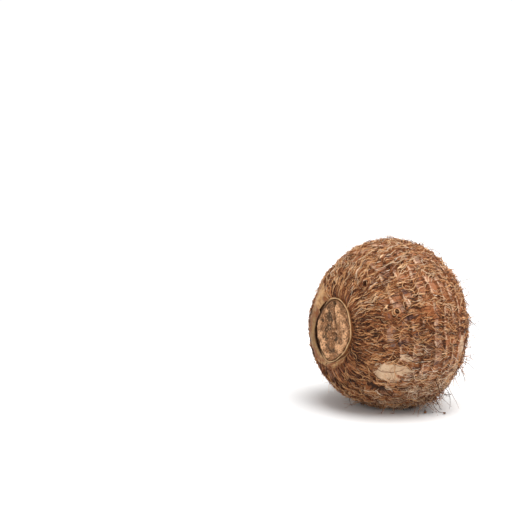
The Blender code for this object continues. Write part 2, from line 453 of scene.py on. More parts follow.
    def carve(self):
        """Cuts the rings, ridges, cracks and hollows into the skin."""
        skin = settings("skin")
        off_scar = self.smooth * np.sin(self.theta) - settings("scar").radius
        outside = smooth(off_scar, 0.001, 0.004)
        place = round_axis(self.theta, self.phi)
        calm = 1.0 - 0.8 * np.maximum(self.rub, self.tile)
        strength = smooth(self.degrees, 32.0, 50.0) * fade(self.degrees, 160.0, 172.0)
        ring = 0.5 - self.across + smooth(self.across, 0.95, 1.0) * self.across
        ring *= skin.ring_step * strength * (1.0 - 0.6 * self.rub)
        bumps = grain(place, 0.0034, 14) + 0.5 * grain(place, 0.0015, 15) * calm
        height = ring + skin.lump * bumps + skin.ridge * self.ridges * calm - skin.crack * self.crack * calm
        height += EYE_RISE * self.eyes - PIT_DEPTH * self.pit - HOLE_DEPTH * self.hole - RUB_DEPTH * self.rub
        self.skin = self.smooth + outside * (height - skin.inset)
        below = np.cos(self.phi) * np.sin(self.theta)
        to_floor = np.where(below < -0.2, AXIS_HEIGHT / np.maximum(-below, 0.2), 1.0)
        self.skin = np.minimum(self.skin, to_floor)

    def normals_of(self, radius):
        points = self.directions(self.theta, self.phi) * radius[..., None]
        down = np.gradient(points, axis=0)
        padded = np.concatenate([points[:, -1:], points, points[:, :1]], axis=1)
        around = (padded[:, 2:] - padded[:, :-2]) / 2
        normals = np.cross(around, down)
        lengths = np.linalg.norm(normals, axis=-1, keepdims=True)
        rays = self.directions(self.theta, self.phi)
        normals = np.where(lengths > TINY, normals / np.maximum(lengths, TINY), rays)
        return np.where((normals * rays).sum(-1, keepdims=True) < 0, -normals, normals)

    def read(self, table, theta, phi):
        """A table's values between its places."""
        row = np.clip(theta / math.pi, 0.0, 1.0) * (ROWS - 1)
        column = (phi / (2 * math.pi)) % 1.0 * COLUMNS
        top = np.minimum(row.astype(int), ROWS - 2)
        left = column.astype(int) % COLUMNS
        right = (left + 1) % COLUMNS
        down, over = row - top, column - np.floor(column)
        if table.ndim == 3:
            down, over = down[..., None], over[..., None]
        upper = table[top, left] * (1 - over) + table[top, right] * over
        lower = table[top + 1, left] * (1 - over) + table[top + 1, right] * over
        return upper * (1 - down) + lower * down

    def clear(self, places, gap=0.0002):
        """The same places, with any that lie inside the skin or the floor moved out."""
        rays = places - CENTRE
        far = np.linalg.norm(rays, axis=-1)
        theta = np.arccos(np.clip(-rays[..., 0] / far, -1.0, 1.0))
        phi = np.arctan2(rays[..., 1], rays[..., 2])
        least = self.read(self.skin, theta, phi) + gap
        moved = CENTRE + rays * np.maximum(least / far, 1.0)[..., None]
        moved[..., 2] = np.maximum(moved[..., 2], gap)
        return moved

    def points(self, theta, phi, lift):
        """Points on the skin, lifted off it by this much."""
        away = self.read(self.normals, theta, phi)
        radius = self.read(self.skin, theta, phi)
        skin = CENTRE + self.directions(theta, phi) * radius[..., None]
        return skin + away * np.asarray(lift)[..., None]


@functools.lru_cache
def surface():
    return Surface()


# ---------------------------------------------------------------- shader nodes

class Value:
    """A shader socket that takes part in sums. Each step adds the Math node that it needs."""

    def __init__(self, recipe, socket):
        self.recipe, self.socket = recipe, socket

    def sum(self, operation, first, second):
        return self.recipe.node('ShaderNodeMath', {"operation": operation}, {0: first, 1: second})

    def __add__(self, other):
        return self.sum('ADD', self, other)

    def __sub__(self, other):
        return self.sum('SUBTRACT', self, other)

    def __rsub__(self, other):
        return self.sum('SUBTRACT', other, self)

    def __mul__(self, other):
        return self.sum('MULTIPLY', self, other)

    def between(self, low, high):
        """0 below low and 1 above high."""
        return self.recipe.node(
            'ShaderNodeMapRange', {"interpolation_type": 'SMOOTHSTEP'}, {0: self, 1: low, 2: high}
        )


class Recipe:
    """A material, and the nodes that make it."""

    def __init__(self, name, roughness):
        self.material = bpy.data.materials.new(name)
        self.material.use_nodes = True
        self.tree = self.material.node_tree
        self.shader = self.tree.nodes["Principled BSDF"]
        self.shader.inputs["Roughness"].default_value = roughness
        self.shader.inputs["Specular IOR Level"].default_value = 0.25

    def node(self, kind, options, inputs, output=0):
        """Adds a node: its options first, then the values or links of its sockets."""
        made = self.tree.nodes.new(kind)
        for name, value in options.items():
            if name == "stops":
                self.fill_ramp(made.color_ramp, value)
            else:
                setattr(made, name, value)
        for key, value in inputs.items():
            if isinstance(value, Value):
                self.tree.links.new(value.socket, made.inputs[key])
            else:
                made.inputs[key].default_value = value
        return Value(self, made.outputs[output])

    def fill_ramp(self, ramp, stops):
        while len(ramp.elements) < len(stops):
            ramp.elements.new(1.0)
        for element, (place, shade) in zip(ramp.elements, stops):
            element.position = place
            element.color = (*shade, 1.0)

    def mix(self, share, first, second):
        """One colour where share is 0 and the other where it is 1."""
        first, second = (value if isinstance(value, Value) else (*value, 1.0) for value in (first, second))
        return self.node('ShaderNodeMix', {"data_type": 'RGBA'}, {0: share, 6: first, 7: second}, 2)

    def attribute(self, name, output="Fac"):
        return self.node('ShaderNodeAttribute', {"attribute_name": name}, {}, output)

    def place(self):
        return self.node('ShaderNodeTexCoord', {}, {}, "Object")

    def noise(self, vector, scale, detail):
        return self.node('ShaderNodeTexNoise', {}, {"Vector": vector, "Scale": scale, "Detail": detail})

    def stretched(self, vector, factors):
        return self.node('ShaderNodeVectorMath', {"operation": 'MULTIPLY'}, {0: vector, 1: factors})

    def bump(self, height, distance, strength):
        inputs = {"Height": height, "Distance": distance, "Strength": strength}
        normal = self.node('ShaderNodeBump', {}, inputs)
        self.tree.links.new(normal.socket, self.shader.inputs["Normal"])

    def paint(self, shade):
        self.tree.links.new(shade.socket, self.shader.inputs["Base Color"])
        return self.material


def skin_material():
    """Dry ringed skin: brown bark, smooth mauve tiles, pale band edges, rubbed patches, and painted shade in
    its hollows.
    """
    skin = settings("skin")
    recipe = Recipe("ringed_skin", 0.72)
    place = recipe.place()
    drawn = recipe.stretched(recipe.attribute("grain", "Vector"), (0.10, 1.0, 1.0))
    streak = recipe.noise(drawn, 1500.0, 3.0)
    wide_streak = recipe.noise(drawn, 620.0, 2.0)
    fine = recipe.noise(place, 900.0, 4.0)
    broad = recipe.noise(place, 210.0, 3.0)
    bark = recipe.mix(streak.between(0.34, 0.60), skin.dark, skin.brown)
    rust = recipe.mix(streak.between(0.30, 0.62), [0.5 * part for part in skin.rust], skin.rust)
    bark = recipe.mix(recipe.attribute("rust") * 0.85, bark, rust)
    tile = recipe.mix(broad.between(0.35, 0.65), skin.mauve, skin.brown)
    tile = recipe.mix(recipe.attribute("rust") * 0.6, tile, skin.rust)
    tile = recipe.mix(wide_streak.between(0.50, 0.66) * 0.6, tile, skin.dark)
    tile = recipe.mix(streak.between(0.52, 0.68) * 0.5, tile, skin.pale)
    shade = recipe.mix((recipe.attribute("tile") + (fine - 0.5) * 0.5).between(0.25, 0.6), bark, tile)
    plum = recipe.attribute("plum") + (fine - 0.5) * 0.5
    shade = recipe.mix(plum.between(0.3, 0.75) * 0.8, shade, skin.plum)
    broken = recipe.attribute("edge") + (fine - 0.5) * 0.9 + (streak - 0.5) * 1.2
    shade = recipe.mix(broken.between(0.30, 0.75) * 0.75, shade, skin.pale)
    rubbed = recipe.mix(recipe.noise(place, 420.0, 5.0).between(0.44, 0.74) * 0.42, skin.rubbed, skin.brown)
    rubbed = recipe.mix(streak.between(0.56, 0.68) * 0.45, rubbed, skin.brown)
    rubbed = recipe.mix((1.0 - fine).between(0.52, 0.66) * 0.4, rubbed, skin.pale)
    shade = recipe.mix((recipe.attribute("rub") + (fine - 0.5) * 0.4).between(0.35, 0.6), shade, rubbed)
    # Painted shade in the skin's pits, bud holes, ring gaps and cracks, and round the scar's face.
    shade = recipe.mix(recipe.attribute("dark"), shade, [0.35 * part for part in skin.dark])
    recipe.bump(streak * 0.7 + fine * 0.5, 0.0003, 0.8)
    return recipe.paint(shade)


@functools.lru_cache
def fibre_material():
    """Dry fibre. The map's first number picks its colour, and its second runs from root to tip.

    The first half of the colours are warm, and the second half are the same ones greyed.
    """
    recipe = Recipe("dry_fibre", 0.62)
    place = recipe.node('ShaderNodeUVMap', {"uv_map": "OFBake"}, {})
    split = recipe.node('ShaderNodeSeparateXYZ', {}, {0: place}, 0)
    along = recipe.node('ShaderNodeSeparateXYZ', {}, {0: place}, 1)
    shades = [
        (44, 22, 10), (92, 48, 22), (138, 79, 41), (172, 109, 65), (200, 140, 90), (219, 166, 116),
        (230, 186, 141), (238, 206, 168),
    ]
    stops = []
    for first, lost in ((0.0, 0.0), (0.5, GREYED)):
        for share, shade in zip(np.linspace(0.0, 0.499, len(shades)).tolist(), shades):
            grey = GREY_LIFT * lost * sum(shade) / 3
            stops.append((first + share, linear(*(grey + (1 - lost) * part for part in shade))))
    tone = recipe.node('ShaderNodeValToRGB', {"stops": stops}, {0: split})
    dim = recipe.mix(1.0 - along.between(0.0, 0.45), tone, linear(96, 54, 32))
    return recipe.paint(recipe.mix(0.45, tone, dim))


def pith_material():
    """The dried cut face: mottled pith, its pale lobes and stains, and painted shade in its pits, cracks and
    along its sunken edge.
    """
    scar = settings("scar")
    recipe = Recipe("scar_pith", 0.8)
    place = recipe.place()
    fine = recipe.noise(place, 1500.0, 3.0)
    medium = recipe.noise(place, 560.0, 5.0)
    lobe = recipe.attribute("lobe") * 0.92 + (medium - 0.5) * 1.6 + (fine - 0.5) * 1.6
    shade = recipe.mix(lobe.between(0.12, 0.62), scar.pith, scar.lobe)
    stain = recipe.attribute("stain") * 0.9 - (medium - 0.5) * 2.0
    shade = recipe.mix(stain.between(0.18, 0.60), shade, scar.blotch)
    shade = recipe.mix(fine.between(0.49, 0.62) * 0.8, shade, scar.blotch)
    shade = recipe.mix((1.0 - fine).between(0.56, 0.66) * 0.65, shade, scar.lobe)
    # Painted shade in the pits, the cracks and along the face's sunken edge.
    shade = recipe.mix(recipe.attribute("dark"), shade, scar.painted_shade)
    recipe.bump(fine + medium * 0.8, 0.0005, 0.8)
    return recipe.paint(shade)


def paper_material():
    """Thin dry sheath, tan with brown streaks and an olive tint that is partly painted shade, a painted
    highlight along the rim's crest, and painted shade on the rim's low side and along the collar's inner
    edge.
    """
    scar = settings("scar")
    recipe = Recipe("papery_sheath", 0.6)
    drawn = recipe.stretched(recipe.attribute("grain", "Vector"), (0.25, 1.0, 1.0))
    streak = recipe.noise(drawn, 900.0, 4.0)
    broad = recipe.noise(recipe.place(), 260.0, 4.0)
    shade = recipe.mix(broad.between(0.35, 0.65), scar.paper, linear(172, 130, 86))
    shade = recipe.mix(streak.between(0.48, 0.70) * 0.7, shade, linear(124, 78, 44))
    shade = recipe.mix((1.0 - streak).between(0.56, 0.70) * 0.5, shade, linear(218, 184, 142))
    # Olive tint on the collar from about 56 degrees round: partly the sheath's own colour, partly painted
    # shade.
    shade = recipe.mix(recipe.attribute("olive") * 0.7, shade, linear(124, 94, 58))
    # Brown wear and stains; on the collar from about 58 degrees round they are partly painted shade.
    worn = recipe.attribute("worn") + (broad - 0.5) * 1.2 * recipe.attribute("worn")
    shade = recipe.mix(worn.between(0.1, 0.9), shade, linear(128, 76, 40))
    # Painted highlight along the top of the rim's wall.
    shade = recipe.mix(recipe.attribute("crest") * 0.9, shade, linear(240, 198, 148))
    # Painted shade on the rim's low side and along the collar's inner edge.
    shade = recipe.mix(recipe.attribute("hollow") * 0.85, shade, scar.painted_shade)
    recipe.bump(streak, 0.0003, 0.7)
    return recipe.paint(shade)


def crumb_material():
    """Bits of dry bark, dark brown to tan."""
    skin = settings("skin")
    recipe = Recipe("bark_crumb", 0.85)
    grit = recipe.noise(recipe.place(), 1400.0, 3.0)
    hue = recipe.noise(recipe.place(), 90.0, 1.0)
    shade = recipe.mix(grit.between(0.35, 0.65), skin.dark, skin.brown)
    shade = recipe.mix(hue.between(0.35, 0.6) * 0.6, shade, linear(112, 84, 58))
    recipe.bump(grit, 0.0002, 0.8)
    return recipe.paint(shade)


# ---------------------------------------------------------------- making pieces

def added(name):
    """The object that the last operator added, under this name."""
    piece = bpy.context.object
    piece.name = piece.data.name = name
    return piece


def vertices_of(piece):
    places = np.empty(len(piece.data.vertices) * 3)
    piece.data.vertices.foreach_get("co", places)
    return places.reshape(-1, 3)


def move_vertices(piece, places):
    piece.data.vertices.foreach_set("co", np.ascontiguousarray(places, np.float32).ravel())
    piece.data.update()


def give_attribute(piece, name, values):
    kind, key = ('FLOAT_VECTOR', "vector") if values.ndim == 2 else ('FLOAT', "value")
    made = piece.data.attributes.new(name, kind, 'POINT')
    made.data.foreach_set(key, np.ascontiguousarray(values, np.float32).ravel())


def face_out(piece):
    """Turns every face outwards."""
    shape = bmesh.new()
    shape.from_mesh(piece.data)
    bmesh.ops.recalc_face_normals(shape, faces=shape.faces[:])
    shape.to_mesh(piece.data)
    shape.free()


def thicken(piece, thickness, offset):
    """Turns a sheet's faces away from the corm's middle, then makes it solid. Offset -1 grows it inwards."""
    facing = sum(face.normal.dot(face.center - MIDDLE) for face in piece.data.polygons)
    if facing < 0:
        piece.data.flip_normals()
    wall = piece.modifiers.new("Thickness", 'SOLIDIFY')
    wall.thickness = thickness
    wall.offset = offset
    bpy.ops.object.modifier_apply(modifier=wall.name)


def finish(piece, material):
    """Gives the piece its finish and fixes it to the corm."""
    piece.data.materials.clear()
    piece.data.materials.append(material)
    piece.data.shade_smooth()
    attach(piece, BODY)


def swept(name, centre, width, thickness, tone, away, corners=3):
    """One mesh of tapered strands. centre is strand by point by 3, and width and thickness are half-sizes."""
    count, points = centre.shape[:2]
    ahead = unit(np.gradient(centre, axis=1))
    side = unit(np.cross(ahead, away))
    up = np.cross(side, ahead)
    turn = 2 * math.pi * (np.arange(corners) + 0.5) / corners
    places = (
        centre[:, :, None]
        + side[:, :, None] * (width[:, :, None] * np.cos(turn))[..., None]
        + up[:, :, None] * (thickness[:, :, None] * np.sin(turn))[..., None]
    )
    places[..., 2] = np.maximum(places[..., 2], FLOOR_GAP)
    index = np.arange(count * points * corners).reshape(count, points, corners)
    onward = np.roll(index, -1, axis=2)
    sides = np.stack([index[:, :-1], onward[:, :-1], onward[:, 1:], index[:, 1:]], -1).reshape(-1)
    starts, ends = index[:, 0, ::-1].reshape(-1), index[:, -1].reshape(-1)
    loops = np.concatenate([sides, starts, ends])
    side_count, cap_count = len(sides) // 4, 2 * count
    totals = np.concatenate([np.full(side_count, 4), np.full(cap_count, corners)])
    mesh = bpy.data.meshes.new(name)
    mesh.vertices.add(index.size)
    mesh.vertices.foreach_set("co", places.astype(np.float32).ravel())
    mesh.loops.add(len(loops))
    mesh.loops.foreach_set("vertex_index", loops.astype(np.int32))
    mesh.polygons.add(len(totals))
    mesh.polygons.foreach_set("loop_start", (np.cumsum(totals) - totals).astype(np.int32))
    mesh.update(calc_edges=True)
    column = (np.clip(tone, 0.0, 0.999) * TONES).astype(int)
    root = centre[:, 0]
    # Strands low on the corm and away from the scar are more often grey.
    greyed_share = 0.10 + 0.65 * fade(root[:, 2], 0.006, 0.042) * smooth(root[:, 0], -0.022, -0.006)
    column += TONES * ((np.arange(count) * GOLDEN_SHARE) % 1.0 < greyed_share)
    across = 0.2 + 0.6 * np.arange(corners) / (corners - 1)
    map_u = (column[:, None, None] + across[None, None]) / (2 * TONES) + np.zeros(index.shape)
    map_v = (0.03 + 0.94 * np.linspace(0, 1, points))[None, :, None] + np.zeros(index.shape)
    layer = mesh.uv_layers.new(name="OFBake")
    pairs = np.stack([map_u.ravel()[loops], map_v.ravel()[loops]], -1)
    layer.data.foreach_set("uv", pairs.astype(np.float32).ravel())
    piece = bpy.data.objects.new(name, mesh)
    bpy.context.scene.collection.objects.link(piece)
    finish(piece, fibre_material())


def scatter(rng, count, density, low=26.0, high=176.0):
    """Places on the skin, as two angles, thicker where the density is higher."""
    corm = surface()
    found = [np.empty((2, 0))]
    total = 0
    while total < count:
        cosine = rng.uniform(math.cos(math.radians(high)), math.cos(math.radians(low)), count)
        theta, phi = np.arccos(cosine), rng.uniform(0, 2 * math.pi, count)
        kept = rng.uniform(0, 1, count) < corm.read(density, theta, phi)
        found.append(np.stack([theta[kept], phi[kept]]))
        total += kept.sum()
    return np.concatenate(found, axis=1)[:, :count]


def walk(theta, phi, heading, reach, points, lift, bend, wave=0.0, wave_length=MM, phase=0.0):
    """Leads each strand over the skin, turning as it goes, and adds up the bare skin that it crosses.

    Heading 0 is towards the bud.
    """
    corm = surface()
    step = reach / (points - 1)
    places, away = [], []
    crossed = np.zeros(len(theta))
    theta, phi = theta.copy(), phi.copy()
    for index in range(points):
        places.append(corm.points(theta, phi, lift[:, index]))
        away.append(corm.read(corm.normals, theta, phi))
        crossed += corm.read(corm.bare, theta, phi) / points
        gone = step * index
        turn = heading + bend * gone + wave * np.sin(2 * math.pi * gone / wave_length + phase)
        radius = corm.read(corm.skin, theta, phi)
        theta = np.clip(theta + step * np.cos(turn) / radius, math.radians(23.0), math.radians(179.0))
        phi = phi + step * np.sin(turn) / (radius * np.maximum(np.sin(theta), 0.08))
    return np.stack(places, 1), np.stack(away, 1), crossed


def local_tone(theta, phi):
    """How much lighter or darker than usual the fibres are, by place: partly their own colour, and partly
    painted light that makes them lighter on top, underneath and on the lower flank.
    """
    height = np.cos(phi) * np.sin(theta)
    degrees = np.degrees(theta)
    away_from_scar = 0.14 * smooth(degrees, 30.0, 52.0) + 0.04 * smooth(degrees, 52.0, 96.0)
    # Painted light: the fibres are lighter the higher they lie, and again on the upper side near the scar.
    top = 0.10 * height + 0.06 * smooth(height, 0.55, 0.95)
    above_scar = 0.07 * smooth(height, 0.2, 0.55) * fade(degrees, 48.0, 70.0)
    # Painted light: lighter underneath, away from the scar, as if lit from the floor.
    underside_painted_light = 0.17 * smooth(-height, 0.25, 0.75) * smooth(degrees, 40.0, 60.0)
    # Partly paler fibres and partly painted light on the lower flank.
    pale_belly_and_painted_light = 0.24 * fade(spot(theta, phi, (94.0, -118.0), (28.0, 22.0)), 0.4, 1.1)
    dark_flank = 0.08 * fade(spot(theta, phi, (66.0, -80.0), (24.0, 20.0)), 0.5, 1.1)
    return away_from_scar + top + above_scar + underside_painted_light + pale_belly_and_painted_light - dark_flank - 0.19


def lie(theta, phi):
    """Which way the fibres lean, off the line from end to end."""
    place = round_axis(theta, phi)
    return 0.70 * grain(place, 0.016, 21) + 0.40 * grain(place, 0.006, 22)


def strand_set(name, seed, count, reach, points, thickness, rise, tangle, curl, shy, density, tones):
    """A mesh of fibres that hug the skin.

    Rise is how high they lie, tangle the share that lie any way at all, curl how hard they turn, and shy
    how seldom they cross bare skin. Reach and thickness are the least and the most.
    """
    rng = np.random.default_rng(seed)
    theta, phi = scatter(rng, count, density)
    total = len(theta)
    wild = rng.uniform(0, 1, total) < tangle
    heading = math.pi + lie(theta, phi) + rng.normal(0, 0.27, total)
    heading = np.where(wild, rng.uniform(0, 2 * math.pi, total), heading)
    lengths = rng.uniform(*reach, total)
    share = shares(points)
    layer = rng.uniform(0.05, 1.0, (total, 1)) ** 1.6 * rise
    arch = rng.uniform(0.0, 0.7, (total, 1)) * rise * np.sin(math.pi * share)
    ripples = rng.uniform(5, 14, (total, 1)) * share + rng.uniform(0, 6, (total, 1))
    lift = (layer + 0.12 * rise * np.sin(ripples)) * smooth(share, 0.0, 0.22) + arch - ROOT_SINK
    bend = rng.normal(0, curl, total) / MM
    wave = rng.uniform(0.05, 0.75, total)
    wave_length = rng.uniform(2.0, 6.0, total) * MM
    phase = rng.uniform(0, 2 * math.pi, total)
    centre, away, crossed = walk(theta, phi, heading, lengths, points, lift, bend, wave, wave_length, phase)
    kept = rng.uniform(0, 1, total) > shy * crossed
    girth = rng.uniform(*thickness, (total, 1)) / 2 * (1.0 - 0.75 * share ** 2.5)
    tone = rng.choice(tones, total) + rng.normal(0, 0.07, total) + local_tone(theta, phi)
    swept(name, centre[kept], girth[kept], 0.75 * girth[kept], tone[kept], away[kept])


# ---------------------------------------------------------------- the pieces

class TARO_OT_skin(bpy.types.Operator):
    """Adds the ringed skin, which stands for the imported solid"""
    bl_idname = "taro.skin"
    bl_label = "Ringed Skin"

    def execute(self, context):
        bpy.ops.mesh.primitive_uv_sphere_add(segments=360, ring_count=262, radius=GIRTH, location=MIDDLE)
        piece = added("ringed_skin")
        bpy.ops.object.mode_set(mode='EDIT')
        bpy.ops.transform.rotate(value=math.pi / 2, orient_axis='Y', center_override=MIDDLE)
        bpy.ops.object.mode_set(mode='OBJECT')
        bpy.ops.object.transform_apply(location=True, rotation=True, scale=True)
        corm = surface()
        rays = (vertices_of(piece) - CENTRE) / GIRTH
        theta = np.arccos(np.clip(-rays[:, 0], -1.0, 1.0))
        phi = np.arctan2(rays[:, 1], rays[:, 2])
        move_vertices(piece, corm.points(theta, phi, np.zeros(len(theta))))
        for name in ("tile", "edge", "rub", "plum", "rust"):
            give_attribute(piece, name, corm.read(getattr(corm, name), theta, phi))
        # Painted shade: the skin is darkened in its pits, bud holes, ring gaps and cracks, and round the
        # scar's face where it is sunk.
        hollow = np.maximum.reduce([0.92 * corm.pit, 0.9 * corm.hole, 0.75 * corm.gap, 0.8 * corm.crack])
        scar_zone = fade(corm.degrees, 25.0, 29.0)
        give_attribute(piece, "dark", corm.read(np.maximum(hollow, 0.8 * scar_zone), theta, phi))
        give_attribute(piece, "grain", round_axis(theta, phi))
        face_out(piece)
        finish(piece, skin_material())
        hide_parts(CORM_NODE)
        return {'FINISHED'}


def scar_outline(turn):
    """The face's radius, with turn counted from its top: a round leaf shape, drawn out at both ends."""
    scar = settings("scar")
    upright = np.cos(turn)
    full = np.where(upright > 0, 1.88, 1.58)
    flank = (np.abs(np.sin(turn)) ** full + np.abs(upright / (1.0 + scar.point)) ** full) ** (-1.0 / full)
    return scar.radius * (0.985 * flank + 0.010 * np.sin(3 * turn + 1.0))


def blobs(across, up, places):
    """1 at the middle of each place, fading outwards. Places are given as in LOBES."""
    found = np.zeros(len(across))
    for side, height, wide, high in places:
        found = np.maximum(found, near_to(across / MM - side, wide) * near_to(up / MM - height, high))
    return found


class TARO_OT_scar_face(bpy.types.Operator):
    """Adds the dried cut face of the stalk"""
    bl_idname = "taro.scar_face"
    bl_label = "Scar Face"

    def execute(self, context):
        bpy.ops.mesh.primitive_grid_add(x_subdivisions=150, y_subdivisions=150, size=2.0)
        piece = added("scar_pith")
        corm = surface()
        flat = vertices_of(piece)
        x, y = flat[:, 0], flat[:, 1]
        x, y = x * np.sqrt(1 - y * y / 2), y * np.sqrt(1 - x * x / 2)
        out = np.hypot(x, y)
        reach = scar_outline(np.arctan2(x, y)) - 0.0003
        across, up = x * reach, y * reach
        place = np.stack([across, up, np.zeros(len(x))], -1)
        bumps = 0.45 * grain(place, 0.0040, 31) + 0.30 * grain(place, 0.0016, 32)
        bumps += 0.16 * grain(place, 0.0007, 33)
        wander = 0.0011 * grain(place * np.array((0, 1, 0)), 0.0032, 34) + 0.0003 * bumps
        crease = across - (0.17 * up - 0.0016 + wander)
        crease_depth = near_to(crease, 0.0006) * smooth(up, -0.001, 0.002)
        second = across - (0.06 * up - 0.0047 + wander)
        second_depth = near_to(second, 0.0004) * smooth(up, 0.003, 0.005) * fade(up, 0.008, 0.010)
        fork = up + 0.0016 - 0.25 * np.abs(across - 0.0006) + 0.0010 * grain(place, 0.0022, 36)
        fork_depth = near_to(fork, 0.0006) * fade(np.abs(across + 0.001), 0.001, 0.0035)
        cells = np.array([noise.voronoi(Vector(p / 0.0013))[0][0] for p in place])
        pits = fade(cells + 0.1 * bumps, 0.10, 0.26)
        shift = 0.0010 * grain(place, 0.0022, 35)
        lobe = np.clip(blobs(across + shift, up - shift, LOBES) * (1.0 + 0.9 * bumps), 0, 1)
        stain = np.clip(blobs(across - shift, up + shift, STAINS) * (1.0 + 0.8 * bumps), 0, 1)
        left = smooth(across, -0.002, 0.006)
        edge_drop = smooth(out, 0.975 - 0.065 * left, 1.0 - 0.035 * left) * (0.25 + 0.75 * left)
        height = 0.0007 + 0.0008 * (bumps - edge_drop) + 0.00055 * lobe - 0.0004 * (1 - out * out)
        height -= 0.0009 * crease_depth + 0.0006 * (second_depth + fork_depth) + 0.0003 * (pits + stain)
        move_vertices(piece, corm.on_scar(across, up, height))
        give_attribute(piece, "lobe", lobe)
        # Painted shade: the crease is darkened with the stains' colour, and the pits, cracks and the face's
        # sunken edge with the shade colour.
        give_attribute(piece, "stain", 0.85 * np.maximum(stain, 0.7 * crease_depth))
        cracks = [0.6 * crease_depth, 0.4 * second_depth, 0.4 * fork_depth]
        give_attribute(piece, "dark", np.maximum.reduce([0.7 * pits, *cracks, 0.9 * edge_drop]))
        thicken(piece, FACE_DEPTH, offset=-1.0)
        finish(piece, pith_material())
        return {'FINISHED'}


class TARO_OT_scar_rim(bpy.types.Operator):
    """Adds the thin wall round the scar's face"""
    bl_idname = "taro.scar_rim"
    bl_label = "Scar Rim"

    def execute(self, context):
        scar = settings("scar")
        bpy.ops.mesh.primitive_torus_add(
            major_segments=300, minor_segments=12, major_radius=2.0, minor_radius=1.0
        )
        piece = added("scar_rim")
        corm = surface()
        ring = vertices_of(piece)
        turn = np.arctan2(ring[:, 0], ring[:, 1])
        outward = np.hypot(ring[:, 0], ring[:, 1]) - 2.0
        upward = ring[:, 2]
        circle = np.stack([np.cos(turn), np.sin(turn), np.zeros(len(turn))], -1)
        ragged = grain(circle, 0.22, 41) + 0.5 * grain(circle, 0.06, 42)
        stands = smooth(0.5 - 0.5 * np.sin(turn), 0.06, 0.46)
        top = scar.rim_height * (1.5 * stands - 0.5 + 0.25 * ragged * stands)
        height = np.where(upward > 0, upward * top, upward * FACE_DEPTH)
        spread = 0.0011 * np.clip(-upward, 0, 1) * (outward > 0)
        lean = 0.00025 * upward + 0.0003 * grain(circle, 0.35, 43)
        reach = scar_outline(turn) + 0.0001 + outward * scar.rim_thickness / 2 + spread + lean
        move_vertices(piece, corm.on_scar(reach * np.sin(turn), reach * np.cos(turn), height))
        give_attribute(piece, "worn", smooth(0.2 * ragged - upward, -0.5, 0.3) * (outward > 0.2))
        # Painted highlight along the top of the wall where it stands up.
        give_attribute(piece, "crest", smooth(upward, 0.35, 0.75) * stands * (0.75 + 0.6 * ragged))
        # Painted shade on the wall's low side.
        give_attribute(piece, "hollow", 1.0 - stands)
        give_attribute(piece, "grain", np.stack([height, reach * np.sin(turn), reach * np.cos(turn)], -1))
        face_out(piece)
        finish(piece, paper_material())
        return {'FINISHED'}


class TARO_OT_collar(bpy.types.Operator):
    """Adds the papery sheath that stands round one side of the scar"""
    bl_idname = "taro.collar"
    bl_label = "Papery Collar"

    def execute(self, context):
        bpy.ops.mesh.primitive_grid_add(x_subdivisions=260, y_subdivisions=48, size=1.0)
        piece = added("papery_collar")
        corm = surface()
        flat = vertices_of(piece) + 0.5
        along, over = flat[:, 0], flat[:, 1]
        first, last = COLLAR[0][0], COLLAR[-1][0]
        degrees = first + (last - first) * along
        narrow = smooth(along, 0.0, 0.06) * fade(along, 0.90, 1.0)
        line = np.stack([along * 8, over * 2, np.zeros(len(along))], -1)
        ragged = grain(line, 0.5, 51) + 0.5 * grain(line, 0.15, 52)
        tongue = smooth(degrees, 24.0, 32.0) * fade(degrees, 56.0, 62.0)
        inner = 24.2 + 0.6 * np.sin(along * 19.0) + (2.0 + 1.5 * ragged) * tongue
        outer = corm.collar_reach(degrees) + 1.6 * ragged * smooth(over, 0.4, 1.0)
        reach = inner + (outer - inner) * over * (0.15 + 0.85 * narrow)
        folds = 0.25 * grain(line, 0.35, 53) + 0.12 * grain(line, 0.10, 54)
        stand = (1.1 * (1.0 - over) ** 2 * narrow + 0.40 + folds + 0.35 * tongue * (1.0 - over)) * MM
        theta, phi = np.radians(reach), np.radians(degrees + 1.5 * ragged * (over - 0.5))
        move_vertices(piece, corm.points(theta, phi, stand))
        # The stain and the olive tint grow from about 56 degrees round: partly the sheath's own colour,
        # partly painted shade on that side.
        stained_and_shade = grain(line, 0.8, 55) + 0.3 * ragged + 0.34 * smooth(degrees, 58.0, 84.0) - 0.06
        worn = np.maximum(smooth(over + 0.3 * ragged, 0.70, 1.05), 0.75 * smooth(stained_and_shade, -0.1, 0.5))
        olive = smooth(degrees, 56.0, 76.0) * (1.0 - 0.6 * smooth(degrees, 130.0, 160.0))
        give_attribute(piece, "olive", olive)
        # Painted shade along the sheath's inner edge, from 58 to 80 degrees round, where it meets the scar.
        give_attribute(piece, "hollow", 0.8 * fade(over, 0.02, 0.16) * smooth(degrees, 58.0, 80.0))
        give_attribute(piece, "worn", worn)
        give_attribute(piece, "grain", round_axis(theta, phi))
        thicken(piece, PAPER_WALL, offset=0.0)
        finish(piece, paper_material())
        return {'FINISHED'}


class TARO_OT_coat(bpy.types.Operator):
    """Adds the matted and curly fibres that cover the skin"""
    bl_idname = "taro.coat"
    bl_label = "Fibre Coat"

    def execute(self, context):
        coat, corm = settings("coat"), surface()
        for index in range(COAT_MESHES):
            strand_set(
                f"matted_fibres_{index + 1}", seed=100 + index, count=coat.short_fibres // COAT_MESHES,
                reach=(0.0018, 0.0060), points=7, thickness=(0.00022, 0.00054), rise=0.00060, tangle=0.08,
                curl=0.07, shy=0.9, density=corm.cover,
                tones=[0.04, 0.12, 0.24, 0.36, 0.50, 0.61, 0.72, 0.84],
            )
        for index in range(COAT_MESHES):
            strand_set(
                f"curly_fibres_{index + 1}", seed=200 + index, count=coat.long_fibres // COAT_MESHES,
                reach=(0.004, 0.013), points=12, thickness=(0.00018, 0.00042), rise=0.00095, tangle=0.15,
                curl=0.09, shy=0.75, density=0.15 + 0.85 * corm.cover,
                tones=[0.10, 0.30, 0.48, 0.60, 0.72, 0.85],
            )
        return {'FINISHED'}


